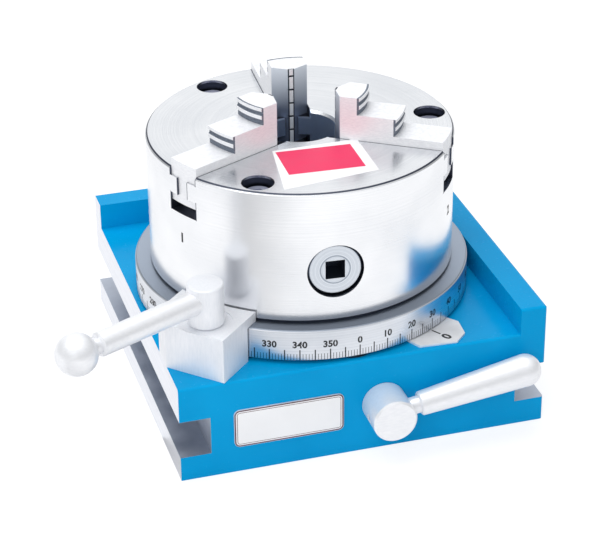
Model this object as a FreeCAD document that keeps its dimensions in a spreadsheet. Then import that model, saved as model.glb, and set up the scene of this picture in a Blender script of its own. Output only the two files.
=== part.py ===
"""Rapid indexing head with a three-jaw scroll chuck, in millimetres with +Z up.

The origin is on the spindle axis at the bottom face of the base.  +X runs to the right along the
front face and -Y points out of the front face, where the index lever sits.
"""
import FreeCAD, Part
import math
import os
import re
import Sketcher
from FreeCAD import Placement, Rotation, Vector

DOC = FreeCAD.newDocument("indexing_head")

# Driving dimensions: each is one cell of the sheet.
SIZES = {
    # cast base with its two raised walls and clamping slots
    "base_margin": 2.2,
    "base_top": 53.5,
    "wall_height": 14.5,
    "wall_thickness": 14.2,
    "wall_gap": 2.0,
    "slot_bottom": 13.7,
    "slot_height": 20.8,
    "slot_depth": 16.0,
    "edge_round": 1.5,
    # spindle, its bush and its nut
    "through_radius": 19.0,
    "journal_radius": 32.0,
    "bush_wall": 4.0,
    "running_gap": 0.05,
    "foot_clearance": 3.0,
    "nut_radius": 42.0,
    "nut_height": 10.0,
    "nut_thread_radius": 30.0,
    "nut_pocket_gap": 4.0,
    "nut_notch_width": 8.0,
    "nut_notch_depth": 4.0,
    "nut_notch_count": 4,
    "washer_thickness": 2.0,
    # graduated flange with its index holes
    "flange_step": 8.3,
    "rim_height": 17.4,
    "rim_lift": 1.5,
    "rim_overhang": 5.3,
    "flange_edge": 0.8,
    "spigot_wall": 18.0,
    "spigot_height": 3.0,
    "index_hole_margin": 7.0,
    "index_hole_radius": 4.6,
    "index_hole_depth": 9.6,
    "index_count": 24,
    # chuck body
    "chuck_radius": 80.0,
    "chuck_height": 71.9,
    "chuck_turn": 86.2,
    "chuck_chamfer": 1.2,
    "chuck_foot_relief": 1.5,
    "web_thickness": 18.3,
    "hub_radius": 28.0,
    "mount_margin": 10.5,
    "mount_screw_radius": 4.0,
    "mount_head_radius": 6.5,
    "mount_head_height": 8.0,
    "mount_recess_radius": 8.3,
    "mount_recess_depth": 13.0,
    "mount_clearance": 0.5,
    "mount_reach": 11.0,
    # back cover inside the chuck
    "cover_plate": 6.0,
    "cover_screw_circle": 24.0,
    "cover_screw_radius": 2.0,
    "cover_head_radius": 3.5,
    "cover_head_height": 4.0,
    "cover_screw_reach": 10.0,
    # scroll plate
    "scroll_wall": 20.0,
    "scroll_bore_gap": 0.3,
    "scroll_pitch": 8.0,
    "thread_height": 4.6,
    "thread_width": 3.5,
    "thread_inner": 30.5,
    "scroll_plate_thickness": 12.0,
    "gear_teeth": 48,
    "gear_margin": 10.0,
    "gear_face": 10.0,
    # pinions that a square key turns
    "pinion_teeth": 12,
    "tooth_top": 0.85,
    "tooth_root": 1.15,
    "tooth_sink": 0.25,
    "tooth_tip_width": 0.175,
    "pinion_root_width": 0.43,
    "gear_root_width": 0.58,
    "pinion_drop": 8.5,
    "pinion_radius": 14.5,
    "pinion_nose_radius": 7.0,
    "pinion_nose_length": 6.0,
    "pinion_shoulder_gap": 3.0,
    "pinion_recess": 2.2,
    "pinion_chamfer": 1.5,
    "key_square": 10.0,
    "key_depth": 13.0,
    "pin_radius": 3.0,
    "pin_margin": 12.0,
    "pin_groove_depth": 3.0,
    # stepped jaws
    "jaw_width": 19.0,
    "jaw_nose": 19.2,
    "nose_flat": 1.6,
    "jaw_end_margin": 1.0,
    "top_step": 23.3,
    "middle_step": 14.0,
    "low_step": 4.5,
    "inner_riser": 36.0,
    "outer_riser": 54.8,
    "serration": 1.0,
    "groove_low": 0.8,
    "groove_high": 1.9,
    "groove_share": 0.3,
    "nose_notch_pitch": 7.6,
    "nose_notch_height": 2.4,
    "nose_notch_depth": 0.9,
    "nose_notch_count": 5,
    "groove_below_face": 4.4,
    "groove_height": 9.5,
    "neck_width": 7.2,
    "guide_gap": 0.05,
    "jaw_slot_depth": 23.5,
    "tooth_gap": 0.35,
    "tooth_tip_gap": 0.4,
    # clamp block, stud, nut, rod and ball
    "block_angle": 225.0,
    "block_past_stud": 12.5,
    "block_right": 17.0,
    "block_left": 27.5,
    "block_height": 24.4,
    "block_rim_gap": 1.0,
    "stud_past_rim": 10.7,
    "stud_radius": 6.0,
    "stud_depth": 20.0,
    "stud_up": 14.0,
    "stud_clearance": 0.6,
    "spot_radius": 13.5,
    "spot_depth": 0.6,
    "post_radius": 9.3,
    "post_height": 22.0,
    "post_chamfer": 1.2,
    "rod_radius": 6.2,
    "rod_height": 13.2,
    "rod_angle": 205.5,
    "rod_spigot_radius": 4.0,
    "rod_spigot_depth": 3.0,
    "rod_neck_radius": 4.2,
    "rod_neck_length": 3.0,
    "ball_reach": 79.2,
    "ball_radius": 10.6,
    # index lever, its shaft and the index plunger
    "plunger_angle": -87.05,
    "plunger_radius": 8.0,
    "plunger_tip_radius": 4.4,
    "plunger_tip_reach": 7.6,
    "plunger_foot": 18.0,
    "rack_offset": 6.5,
    "shaft_pitch_radius": 6.0,
    "shaft_teeth": 12,
    "rack_tooth_top": 0.7,
    "rack_tooth_root": 1.25,
    "rack_gap_half": 1.02,
    "rack_flank_angle": 20.0,
    "lever_height": 26.9,
    "lever_bush_wall": 3.0,
    "lever_bush_length": 6.0,
    "shaft_past_plunger": 9.0,
    "journal_length": 5.0,
    "journal_end_radius": 4.5,
    "plunger_bush_wall": 3.0,
    "plunger_bush_length": 12.0,
    "plug_radius": 9.5,
    "plug_height": 6.0,
    "plug_recess": 0.5,
    "plug_slot_length": 12.0,
    "plug_slot_width": 1.6,
    "plug_slot_depth": 2.0,
    "spring_radius": 3.2,
    "spring_wire": 0.9,
    "spring_turns": 9,
    "spring_pocket_gap": 0.4,
    "spring_pocket": 18.0,
    "hub_radius_front": 11.5,
    "hub_length": 20.0,
    "hub_gap": 0.3,
    "hub_chamfer": 1.0,
    "handle_angle": 9.4,
    "handle_offset": 11.0,
    "handle_neck_radius": 4.5,
    "handle_start": 15.5,
    "handle_root_radius": 6.3,
    "handle_end_radius": 8.5,
    "handle_reach": 81.8,
    "handle_spigot_depth": 4.0,
    "set_screw_radius": 2.5,
    # plates
    "zero_plate_thickness": 1.2,
    "zero_angle": -57.4,
    "zero_tuck": 4.0,
    "zero_tuck_half": 15.3,
    "zero_cheek": 5.0,
    "zero_cheek_half": 16.2,
    "zero_nose": 14.7,
    "zero_nose_side": 9.0,
    "zero_reach": 16.7,
    "name_plate_thickness": 0.8,
    "name_plate_left": -62.5,
    "name_plate_length": 57.5,
    "name_plate_bottom": 15.0,
    "name_plate_width": 21.5,
    "name_plate_corner": 3.0,
}

# Places worked out from the driving dimensions.
DERIVED = {
    "flange_radius": "chuck_radius + flange_step",
    "bearing_radius": "flange_radius - rim_overhang",
    "index_circle": "bearing_radius - index_hole_margin",
    "spigot_radius": "chuck_radius - spigot_wall",
    "mount_circle": "chuck_radius - mount_margin",
    "scroll_radius": "chuck_radius - scroll_wall",
    "gear_outer": "scroll_radius - gear_margin",
    "gear_inner": "gear_outer - gear_face",
    "pinion_shoulder": "gear_outer + pinion_shoulder_gap",
    "pinion_face": "chuck_radius - pinion_recess",
    "pin_circle": "chuck_radius - pin_margin",
    "jaw_end": "chuck_radius - jaw_end_margin",
    "stud_circle": "flange_radius + stud_past_rim",
    "block_outer": "stud_circle + block_past_stud",
    "base_left": "flange_radius + base_margin",
    "base_front": "flange_radius + base_margin",
    "base_right": "flange_radius + wall_gap + wall_thickness",
    "wall_inner": "flange_radius + wall_gap",
    "wall_top": "base_top + wall_height",
    "bush_radius": "journal_radius + bush_wall",
    "pocket_depth": "foot_clearance + nut_height + running_gap + washer_thickness",
    "flange_bottom": "base_top + running_gap",
    "rim_bottom": "base_top + rim_lift",
    "flange_top": "base_top + rim_lift + rim_height",
    "spigot_top": "flange_top + spigot_height",
    "chuck_face": "flange_top + chuck_height",
    "cavity_floor": "spigot_top + 2 * running_gap",
    "ceiling": "chuck_face - web_thickness",
    "cavity_radius": "scroll_radius + scroll_bore_gap",
    "thread_top": "ceiling - scroll_bore_gap",
    "plate_top": "thread_top - thread_height",
    "scroll_bottom": "plate_top - scroll_plate_thickness",
    "cover_top": "scroll_bottom - scroll_bore_gap",
    "hub_foot": "cavity_floor + cover_plate",
    "pinion_axis": "scroll_bottom - pinion_drop",
    "slot_floor": "chuck_face - jaw_slot_depth",
    "groove_top": "chuck_face - groove_below_face",
    "groove_bottom": "groove_top - groove_height",
    "jaw_top": "chuck_face + top_step",
    "tooth_tip": "plate_top + tooth_tip_gap",
    "block_top": "base_top + block_height",
    "post_top": "block_top + post_height",
    "rod_level": "block_top + rod_height",
    "plunger_x": "index_circle * cos(plunger_angle)",
    "plunger_y": "index_circle * sin(plunger_angle)",
    "lever_x": "plunger_x + rack_offset + shaft_pitch_radius",
    "shaft_radius": "shaft_pitch_radius + shaft_pitch_radius / shaft_teeth * 2",
    "shaft_end": "plunger_y + shaft_past_plunger",
    "lever_bush_radius": "shaft_radius + lever_bush_wall",
    "plunger_bush_radius": "plunger_radius + plunger_bush_wall",
}

SHEET = DOC.addObject("Spreadsheet::Sheet", "Sizes")
for row, (alias, size) in enumerate(SIZES.items(), start=1):
    SHEET.set("A%d" % row, alias)
    SHEET.set("B%d" % row, str(size))
    SHEET.setAlias("B%d" % row, alias)
DOC.recompute()

WORD = re.compile(r"[a-z][a-z_]*")
NODES = {}


def spelled(formula):
    """A formula with its derived names written out and its sheet names made full."""
    def swap(match):
        word = match.group(0)
        if word in DERIVED:
            return "(" + spelled(DERIVED[word]) + ")"
        return "Sizes." + word if word in SIZES else word
    return WORD.sub(swap, str(formula))


def size(formula):
    """The value of a formula, as a plain number."""
    return float(SHEET.evalExpression(spelled(formula)))


def node(piece, name):
    """Names a finished sub-part."""
    piece.Label = name
    NODES[name] = piece
    return piece


def new_body(name, turn=None, x=None, y=None, z=None):
    """A body with its place and its turn about Z bound to the sheet."""
    body = DOC.addObject("PartDesign::Body", "Body_" + name)
    body.Placement = Placement(Vector(), Rotation(Vector(0, 0, 1), 1))
    body.setExpression("Placement.Rotation.Angle", spelled(turn or 0))
    for axis, formula in (("x", x), ("y", y), ("z", z)):
        if formula is not None:
            body.setExpression("Placement.Base." + axis, spelled(formula))
    return node(body, name)


def origin_part(body, role):
    return [part for part in body.Origin.OriginFeatures if part.Role == role][0]


def new_sketch(body, role, name, lift=None):
    """A sketch on one of the body's own origin planes, lifted along its normal."""
    sketch = body.newObject("Sketcher::SketchObject", body.Label + "_" + name)
    sketch.AttachmentSupport = [(origin_part(body, role), "")]
    sketch.MapMode = "FlatFace"
    if lift is not None:
        sketch.AttachmentOffset = Placement(Vector(0, 0, size(lift)), Rotation())
        sketch.setExpression("AttachmentOffset.Base.z", spelled(lift))
    return sketch


def pin_point(sketch, edge, point, corner):
    """Ties one point of a sketch edge to a pair of formulas."""
    for kind, formula in zip(("DistanceX", "DistanceY"), corner):
        index = sketch.addConstraint(Sketcher.Constraint(kind, -1, 1, edge, point, size(formula)))
        sketch.setExpression("Constraints[%d]" % index, spelled(formula))


def add_loop(sketch, corners):
    """A closed outline of straight edges with each corner bound to the sheet."""
    spots = [Vector(size(across), size(up), 0) for across, up in corners]
    first = sketch.GeometryCount
    count = len(spots)
    for number in range(count):
        sketch.addGeometry(Part.LineSegment(spots[number], spots[(number + 1) % count]), False)
    for number in range(count):
        following = first + (number + 1) % count
        sketch.addConstraint(Sketcher.Constraint("Coincident", first + number, 2, following, 1))
        pin_point(sketch, first + number, 1, corners[number])
    return sketch


def add_box(sketch, left, right, low, high):
    return add_loop(sketch, [(left, low), (right, low), (right, high), (left, high)])


def add_circle(sketch, across, up, radius):
    """A circle with its centre and radius bound to the sheet."""
    centre = Vector(size(across), size(up), 0)
    edge = sketch.addGeometry(Part.Circle(centre, Vector(0, 0, 1), size(radius)), False)
    pin_point(sketch, edge, 3, (across, up))
    index = sketch.addConstraint(Sketcher.Constraint("Radius", edge, size(radius)))
    sketch.setExpression("Constraints[%d]" % index, spelled(radius))
    return sketch


def feature(body, kind, name, sketch, checked_sign):
    """A sketch-based feature that has to add (+1) or remove (-1) material."""
    before = body.Shape.Volume if body.Tip else 0.0
    made = body.newObject("PartDesign::" + kind, body.Label + "_" + name)
    made.Profile = sketch
    return made, before, checked_sign


def finish(body, made, before, checked_sign):
    DOC.recompute()
    change = body.Shape.Volume - before
    if change * checked_sign <= 0:
        raise ValueError("%s changed the volume by %.3f" % (made.Label, change))
    return made


def pad(body, sketch, name, length, middle=False, back=False):
    made, before, sign = feature(body, "Pad", name, sketch, 1)
    made.Midplane = middle
    made.Reversed = back
    made.setExpression("Length", spelled(length))
    return finish(body, made, before, sign)


def pocket(body, sketch, name, length, middle=False, back=False):
    """Cuts along the sketch's normal, or against it when back is set."""
    made, before, sign = feature(body, "Pocket", name, sketch, -1)
    made.Midplane = middle
    made.Reversed = not back
    made.setExpression("Length", spelled(length))
    return finish(body, made, before, sign)


def revolve(body, corners, name, kind="Revolution"):
    """Turns an outline in the XZ plane about Z, to add material or to groove it."""
    sketch = add_loop(new_sketch(body, "XZ_Plane", name + "_outline"), corners)
    made, before, sign = feature(body, kind, name, sketch, 1 if kind == "Revolution" else -1)
    made.ReferenceAxis = (sketch, ["V_Axis"])
    made.Angle = 360
    return finish(body, made, before, sign)


def around(body, made, count):
    """Repeats a feature evenly round the body's Z axis."""
    before = body.Shape.Volume
    pattern = body.newObject("PartDesign::PolarPattern", made.Name + "_around")
    pattern.Originals = [made]
    pattern.Axis = (origin_part(body, "Z_Axis"), [""])
    pattern.Angle = 360
    pattern.setExpression("Occurrences", spelled(count))
    body.Tip = pattern
    DOC.recompute()
    if abs(body.Shape.Volume - before) < 1e-6:
        raise ValueError(pattern.Label + " repeats nothing")
    return pattern


def dress(body, kind, name, length, wanted):
    """A Fillet or Chamfer on the edges that the test accepts."""
    edges = ["Edge%d" % (number + 1) for number, edge in enumerate(body.Shape.Edges) if wanted(edge)]
    carrier = body.Tip
    made = body.newObject("PartDesign::" + kind, body.Label + "_" + name)
    made.Base = (carrier, edges)
    made.setExpression("Radius" if kind == "Fillet" else "Size", spelled(length))
    DOC.recompute()
    return made


def shaped(name, shape):
    """A sub-part whose shape is made by geometry functions."""
    made = DOC.addObject("Part::Feature", "Shape_" + name)
    made.Shape = shape
    return node(made, name)


def turned_shape(corners):
    """A solid turned about Z from (radius, height) numbers."""
    spots = [Vector(radius, 0, height) for radius, height in corners]
    face = Part.Face(Part.makePolygon(spots + spots[:1]))
    return face.revolve(Vector(), Vector(0, 0, 1), 360)


def rod_between(start, end, radius):
    run = end.sub(start)
    return Part.makeCylinder(radius, run.Length, start, run)


def copies_around(shape, count, first_angle=0.0):
    """Even copies of a shape round Z."""
    made = []
    for number in range(count):
        copy = shape.copy()
        copy.rotate(Vector(), Vector(0, 0, 1), first_angle + 360.0 * number / count)
        made.append(copy)
    return made


# ---------------------------------------------------------------- base group

def base_casting():
    """Iron base: a block with an L of raised walls, side slots and its bores."""
    body = new_body("base_casting")
    pad(body, add_box(new_sketch(body, "XY_Plane", "block"),
                      "-base_left", "base_right", "-base_front", "base_right"),
        "block", "base_top")
    walls = add_loop(new_sketch(body, "XY_Plane", "walls", "base_top"), [
        ("wall_inner", "-base_front"), ("base_right", "-base_front"), ("base_right", "base_right"),
        ("-base_left", "base_right"), ("-base_left", "wall_inner"), ("wall_inner", "wall_inner")])
    pad(body, walls, "walls", "wall_height")
    slots = new_sketch(body, "XZ_Plane", "slots")
    slot_top = "slot_bottom + slot_height"
    add_box(slots, "-base_left - 1", "-base_left + slot_depth", "slot_bottom", slot_top)
    add_box(slots, "base_right - slot_depth", "base_right + 1", "slot_bottom", slot_top)
    pocket(body, slots, "side_slots", "4 * base_right", middle=True)
    pocket_radius = "nut_radius + nut_pocket_gap"
    revolve(body, [("0", "-1"), (pocket_radius, "-1"), (pocket_radius, "pocket_depth"),
                   ("bush_radius", "pocket_depth"), ("bush_radius", "base_top + 1"),
                   ("0", "base_top + 1")], "spindle_bore", "Groove")
    for name, radius, low, high in (
            ("plunger_bore", "plunger_radius + 0.3", "1", "base_top + 1"),
            ("bush_seat", "plunger_bush_radius", "base_top - plunger_bush_length", "base_top + 1"),
            ("plug_seat", "plug_radius", "-1", "plug_height")):
        circle = new_sketch(body, "XY_Plane", name, low)
        add_circle(circle, "plunger_x", "plunger_y", radius)
        pocket(body, circle, name, "%s - (%s)" % (high, low))
    for name, radius, low, high in (
            ("lever_bush_seat", "lever_bush_radius", "-base_front - 1", "-base_front + lever_bush_length"),
            ("lever_bore", "shaft_radius + 0.4", "-base_front", "shaft_end + 1"),
            ("journal_bore", "journal_end_radius + running_gap", "shaft_end", "shaft_end + journal_length + 1")):
        circle = new_sketch(body, "XZ_Plane", name, "-(%s)" % low)
        add_circle(circle, "lever_x", "lever_height", radius)
        pocket(body, circle, name, "%s - (%s)" % (high, low), back=True)
    stud = new_sketch(body, "XY_Plane", "stud_hole", "base_top - stud_depth")
    add_circle(stud, "stud_circle * cos(block_angle)", "stud_circle * sin(block_angle)", "stud_radius")
    pocket(body, stud, "stud_hole", "stud_depth + 1")
    front = -size("base_front")
    top = size("base_top")
    right = size("base_right")
    wall_top = size("wall_top")

    def outer_edge(edge):
        box = edge.BoundBox
        flat = box.ZLength < 1e-6
        along_front = flat and box.YLength < 1e-6 and abs(box.YMin - front) < 1e-6 and box.ZMin >= top - 1e-6
        on_wall_top = flat and abs(box.ZMin - wall_top) < 1e-6 and (
            abs(box.XMin - right) < 1e-6 or abs(box.YMin - right) < 1e-6)
        upright = box.ZLength > 1 and box.XLength < 1e-6 and box.YLength < 1e-6 and (
            abs(box.XMin - right) < 1e-6 and abs(abs(box.YMin) - abs(front if box.YMin < 0 else right)) < 1e-6)
        return along_front or on_wall_top or upright
    dress(body, "Fillet", "edge_round", "edge_round", outer_edge)


def spindle_bush():
    body = new_body("spindle_bush")
    revolve(body, [("journal_radius + running_gap", "pocket_depth"), ("bush_radius", "pocket_depth"),
                   ("bush_radius", "base_top"), ("journal_radius + running_gap", "base_top")], "sleeve")


def thrust_washer():
    body = new_body("thrust_washer")
    low = "foot_clearance + nut_height + running_gap"
    revolve(body, [("journal_radius + 1", low), ("nut_radius", low), ("nut_radius", "pocket_depth"),
                   ("journal_radius + 1", "pocket_depth")], "washer")


def zero_plate():
    """Flat six-sided plate that carries the zero line, tucked under the flange's rim."""
    body = new_body("zero_plate", turn="zero_angle")
    plate = new_sketch(body, "XY_Plane", "outline", "base_top")
    add_loop(plate, [("flange_radius - zero_tuck", "-zero_tuck_half"),
                     ("flange_radius + zero_cheek", "-zero_cheek_half"),
                     ("flange_radius + zero_reach", "0"),
                     ("flange_radius + zero_nose", "zero_nose_side"),
                     ("flange_radius + zero_cheek", "zero_cheek_half"),
                     ("flange_radius - zero_tuck", "zero_tuck_half")])
    pad(body, plate, "plate", "zero_plate_thickness")


def name_plate():
    """Blank plate with round corners on the front face."""
    body = new_body("name_plate")
    face = new_sketch(body, "XZ_Plane", "outline", "base_front")
    add_box(face, "name_plate_left", "name_plate_left + name_plate_length",
            "name_plate_bottom", "name_plate_bottom + name_plate_width")
    pad(body, face, "plate", "name_plate_thickness")
    dress(body, "Fillet", "corners", "name_plate_corner",
          lambda edge: edge.BoundBox.YLength > 0.1)


def clamp_block():
    """Heel block whose nose reaches over the flange up to the chuck."""
    body = new_body("clamp_block", turn="block_angle")
    plan = new_sketch(body, "XY_Plane", "plan", "base_top")
    flush = "base_left * sqrt(2)"
    add_loop(plan, [("chuck_radius - 6", "-block_left"), (flush + " - block_left", "-block_left"),
                    ("block_outer", "block_outer - " + flush), ("block_outer", "block_right"),
                    ("chuck_radius - 6", "block_right")])
    pad(body, plan, "blank", "block_height")
    heel = "flange_radius + block_rim_gap"
    nose = "chuck_radius + block_rim_gap"
    over = "flange_top + 2 * running_gap"
    revolve(body, [("0", "base_top - 1"), (heel, "base_top - 1"), (heel, over), (nose, over),
                   (nose, "block_top + 1"), ("0", "block_top + 1")], "flange_clearance", "Groove")
    spot = add_circle(new_sketch(body, "XY_Plane", "spot", "block_top - spot_depth"),
                      "stud_circle", "0", "spot_radius")
    pocket(body, spot, "spot_face", "spot_depth + 1")
    hole = add_circle(new_sketch(body, "XY_Plane", "hole", "base_top - 1"),
                      "stud_circle", "0", "stud_radius + stud_clearance")
    pocket(body, hole, "stud_hole", "block_height + 2")


def clamp_stud():
    body = new_body("clamp_stud", x="stud_circle * cos(block_angle)", y="stud_circle * sin(block_angle)")
    revolve(body, [("0", "base_top - stud_depth"), ("stud_radius", "base_top - stud_depth"),
                   ("stud_radius", "block_top + stud_up - 1"), ("stud_radius - 1", "block_top + stud_up"),
                   ("0", "block_top + stud_up")], "stud")


def lever_bush():
    body = new_body("lever_bush", x="lever_x")
    ring = new_sketch(body, "XZ_Plane", "ring", "base_front")
    add_circle(ring, "0", "lever_height", "lever_bush_radius")
    add_circle(ring, "0", "lever_height", "shaft_radius + running_gap")
    pad(body, ring, "sleeve", "lever_bush_length", back=True)


def plunger_bush():
    body = new_body("plunger_bush", x="plunger_x", y="plunger_y")
    low = "base_top - plunger_bush_length"
    revolve(body, [("plunger_radius + running_gap", low), ("plunger_bush_radius", low),
                   ("plunger_bush_radius", "base_top"), ("plunger_radius + running_gap", "base_top")],
            "sleeve")


def spring_plug():
    """Screw plug that closes the plunger's bore from below and centres the spring."""
    body = new_body("spring_plug", x="plunger_x", y="plunger_y")
    edge = "plug_recess"
    revolve(body, [("0", edge), ("plug_radius - " + edge, edge), ("plug_radius", "2 * " + edge),
                   ("plug_radius", "plug_height"), ("0", "plug_height")], "plug")
    slot = add_box(new_sketch(body, "XY_Plane", "driver", "0"), "-plug_slot_length / 2",
                   "plug_slot_length / 2", "-plug_slot_width / 2", "plug_slot_width / 2")
    pocket(body, slot, "driver_slot", "plug_recess + plug_slot_depth")


def plunger_spring():
    """Compression spring between the plug and the plunger's pocket."""
    low = size("plug_height + spring_wire / 2")
    high = size("plunger_foot + spring_pocket - spring_wire / 2")
    turns = size("spring_turns")
    radius = size("spring_radius - spring_wire / 2")
    helix = Part.makeHelix((high - low) / turns, high - low, radius)
    section = Part.Wire(Part.makeCircle(size("spring_wire / 2"), Vector(radius, 0, 0), Vector(0, 1, 0)))
    coil = Part.Wire(helix).makePipeShell([section], True, True)
    coil.translate(Vector(size("plunger_x"), size("plunger_y"), low))
    shaped("plunger_spring", coil)


# ------------------------------------------------------------- spindle group

def index_spindle():
    """Graduated flange and hollow journal in one piece, with index holes underneath."""
    body = new_body("index_spindle", turn="plunger_angle")
    edge = "flange_edge"
    revolve(body, [
        ("through_radius", "foot_clearance"), ("nut_thread_radius", "foot_clearance"),
        ("nut_thread_radius", "foot_clearance + nut_height"),
        ("journal_radius", "foot_clearance + nut_height"), ("journal_radius", "flange_bottom"),
        ("bearing_radius", "flange_bottom"), ("bearing_radius", "rim_bottom"),
        ("flange_radius - " + edge, "rim_bottom"), ("flange_radius", "rim_bottom + " + edge),
        ("flange_radius", "flange_top - " + edge), ("flange_radius - " + edge, "flange_top"),
        ("spigot_radius", "flange_top"), ("spigot_radius", "spigot_top"),
        ("through_radius", "spigot_top")], "turning")
    hole = add_circle(new_sketch(body, "XY_Plane", "index_hole", "base_top - 1"),
                      "index_circle", "0", "index_hole_radius")
    around(body, pocket(body, hole, "index_hole", "index_hole_depth + 1"), "index_count")
    angle = "(chuck_turn + 30 - plunger_angle)"
    thread = new_sketch(body, "XY_Plane", "mount_hole", "flange_top - mount_reach")
    add_circle(thread, "mount_circle * cos(%s)" % angle, "mount_circle * sin(%s)" % angle,
               "mount_screw_radius")
    around(body, pocket(body, thread, "mount_hole", "mount_reach + 1"), "3")


def spindle_nut():
    """Round nut under the base with four notches for a hook spanner."""
    body = new_body("spindle_nut")
    high = "foot_clearance + nut_height"
    revolve(body, [("nut_thread_radius", "foot_clearance"), ("nut_radius - 1", "foot_clearance"),
                   ("nut_radius", "foot_clearance + 1"), ("nut_radius", high),
                   ("nut_thread_radius", high)], "ring")
    notch = add_box(new_sketch(body, "XY_Plane", "notch", "foot_clearance - 1"),
                    "nut_radius - nut_notch_depth", "nut_radius + 1", "-nut_notch_width / 2",
                    "nut_notch_width / 2")
    around(body, pocket(body, notch, "notch", "nut_height + 2"), "nut_notch_count")


def chuck_body():
    """Chuck body: T-guides for the jaws, cavity for the scroll, bores for the pinions."""
    body = new_body("chuck_body", turn="chuck_turn")
    relief = "chuck_foot_relief"
    revolve(body, [
        ("through_radius", "hub_foot"), ("hub_radius", "hub_foot"), ("hub_radius", "ceiling"),
        ("cavity_radius", "ceiling"), ("cavity_radius", "cavity_floor"),
        ("spigot_radius + running_gap", "cavity_floor"), ("spigot_radius + running_gap", "flange_top"),
        ("chuck_radius - " + relief, "flange_top"), ("chuck_radius - " + relief, "flange_top + " + relief),
        ("chuck_radius", "flange_top + " + relief),
        ("chuck_radius", "chuck_face - chuck_chamfer"), ("chuck_radius - chuck_chamfer", "chuck_face"),
        ("through_radius + chuck_chamfer", "chuck_face"), ("through_radius", "chuck_face - chuck_chamfer")],
        "turning")
    wide = "(jaw_width / 2 + guide_gap)"
    neck = "(neck_width / 2 + guide_gap)"
    guide = add_loop(new_sketch(body, "YZ_Plane", "guide"), [
        ("-" + wide, "slot_floor"), (wide, "slot_floor"), (wide, "groove_bottom + guide_gap"),
        (neck, "groove_bottom + guide_gap"), (neck, "groove_top - guide_gap"),
        (wide, "groove_top - guide_gap"), (wide, "chuck_face + 1"), ("-" + wide, "chuck_face + 1"),
        ("-" + wide, "groove_top - guide_gap"), ("-" + neck, "groove_top - guide_gap"),
        ("-" + neck, "groove_bottom + guide_gap"), ("-" + wide, "groove_bottom + guide_gap")])
    around(body, pocket(body, guide, "guide", "chuck_radius + 5"), "3")
    bore = add_circle(new_sketch(body, "YZ_Plane", "pinion_bore"), "0", "pinion_axis",
                      "pinion_radius + running_gap")
    around(body, pocket(body, bore, "pinion_bore", "chuck_radius + 5", back=True), "3")
    pin = add_circle(new_sketch(body, "XY_Plane", "pin_hole", "flange_top - 1"),
                     "-pin_circle", "0", "pin_radius")
    around(body, pocket(body, pin, "pin_hole", "pinion_axis - flange_top"), "3")
    for name, radius, low, high in (
            ("mount_hole", "mount_screw_radius + mount_clearance", "flange_top - 1", "chuck_face + 1"),
            ("mount_recess", "mount_recess_radius", "chuck_face - mount_recess_depth", "chuck_face + 1")):
        circle = new_sketch(body, "XY_Plane", name, low)
        add_circle(circle, "mount_circle * cos(30)", "mount_circle * sin(30)", radius)
        around(body, pocket(body, circle, name, "%s - (%s)" % (high, low)), "3")
    thread = add_circle(new_sketch(body, "XY_Plane", "cover_thread", "hub_foot - 1"),
                        "-cover_screw_circle", "0", "cover_screw_radius")
    around(body, pocket(body, thread, "cover_thread", "cover_screw_reach + 1"), "3")


def chuck_cover():
    """Cover behind the scroll, with a round-bottomed pocket for each pinion."""
    body = new_body("chuck_cover", turn="chuck_turn")
    inner = "hub_radius + scroll_bore_gap"
    revolve(body, [("through_radius", "cavity_floor"), ("scroll_radius", "cavity_floor"),
                   ("scroll_radius", "cover_top"), (inner, "cover_top"), (inner, "hub_foot"),
                   ("through_radius", "hub_foot")], "turning")
    nose_end = "gear_inner - pinion_nose_length"
    for name, radius, start in (("gear_room", "pinion_radius + 2 * scroll_bore_gap", "gear_inner - 0.5"),
                                ("nose_bore", "pinion_nose_radius + running_gap", nose_end + " - 0.5")):
        circle = new_sketch(body, "YZ_Plane", name, "-(%s)" % start)
        add_circle(circle, "0", "pinion_axis", radius)
        around(body, pocket(body, circle, name, "chuck_radius", back=True), "3")
    hole = add_circle(new_sketch(body, "XY_Plane", "screw_hole", "cavity_floor - 1"),
                      "-cover_screw_circle", "0", "cover_screw_radius + 0.3")
    around(body, pocket(body, hole, "screw_hole", "cover_plate + 2"), "3")
    sink = add_circle(new_sketch(body, "XY_Plane", "head_recess", "cavity_floor - 1"),
                      "-cover_screw_circle", "0", "cover_head_radius + 0.3")
    around(body, pocket(body, sink, "head_recess", "cover_head_height + 1"), "3")


def cap_screw(radius, head_radius, head_height, length, socket_radius):
    """Cap screw along -Z with the underside of its head at the origin."""
    screw = turned_shape([(0, -length), (radius, -length), (radius, 0), (head_radius, 0),
                          (head_radius, head_height), (0, head_height)])
    corners = [Vector(socket_radius * math.cos(math.radians(60 * side)),
                      socket_radius * math.sin(math.radians(60 * side)), head_height / 2)
               for side in range(6)]
    socket = Part.Face(Part.makePolygon(corners + corners[:1])).extrude(Vector(0, 0, head_height))
    return screw.cut(socket)


def chuck_screws():
    """Three cap screws that hold the chuck down on the flange."""
    head_seat = size("chuck_face - mount_recess_depth")
    screw = cap_screw(size("mount_screw_radius"), size("mount_head_radius"), size("mount_head_height"),
                      head_seat - size("flange_top - mount_reach"), size("mount_screw_radius") * 0.87)
    screw.translate(Vector(size("mount_circle"), 0, head_seat))
    shaped("chuck_screws", Part.makeCompound(copies_around(screw, 3, size("chuck_turn") + 30)))


def cover_screws():
    """Three cap screws that hold the cover on the chuck's hub."""
    head_seat = size("cavity_floor + cover_head_height")
    screw = cap_screw(size("cover_screw_radius"), size("cover_head_radius"), size("cover_head_height"),
                      size("hub_foot + cover_screw_reach") - head_seat, size("cover_screw_radius") * 0.8)
    screw.rotate(Vector(), Vector(1, 0, 0), 180)
    screw.translate(Vector(size("cover_screw_circle"), 0, head_seat))
    shaped("cover_screws", Part.makeCompound(copies_around(screw, 3, size("chuck_turn") + 60)))


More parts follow.
